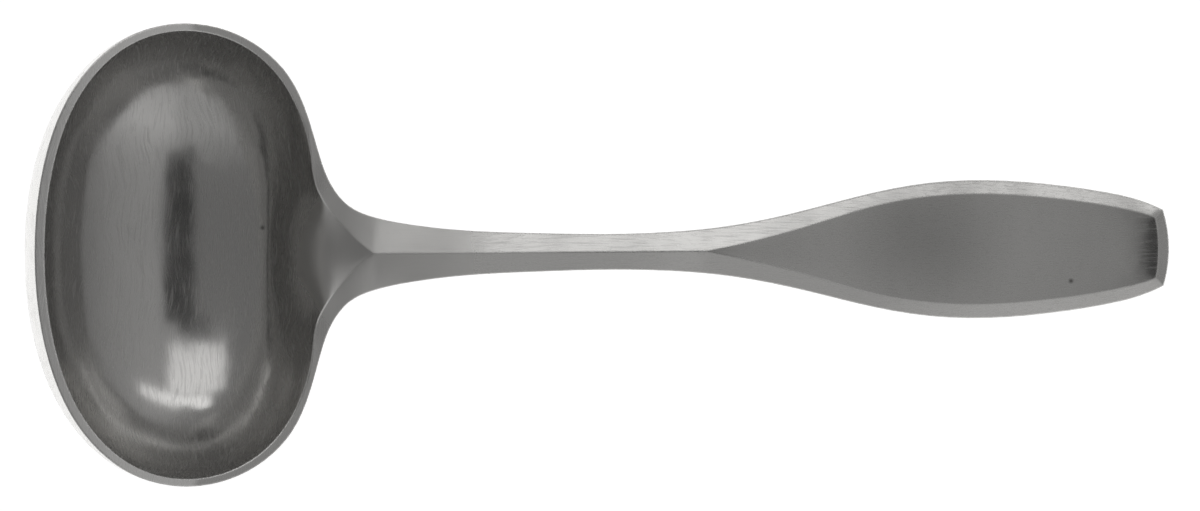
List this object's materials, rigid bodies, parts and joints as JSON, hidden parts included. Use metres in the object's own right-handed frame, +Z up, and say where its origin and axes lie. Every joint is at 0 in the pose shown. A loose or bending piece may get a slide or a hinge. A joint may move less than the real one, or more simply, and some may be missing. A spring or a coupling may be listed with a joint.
{
  "type": "gravy ladle",
  "caption": "One-piece stainless steel gravy ladle with a wide oval bowl, an arched ridged stem and a bevelled spatulate grip, lying at rest.",
  "frame": {"origin": "centre of the bounding box's bottom face, on the table that the ladle lies on", "axes": "+X along the handle, from the bowl to the handle end; +Y to the side, across the bowl; +Z up from the table"},
  "size_m": [0.1789, 0.0722, 0.0332],
  "materials": {
    "steel": "satin polished, with fine wear marks inside the bowl"
  },
  "bodies": {
    "root": {"ladle": "steel"}
  },
  "joints": []
}
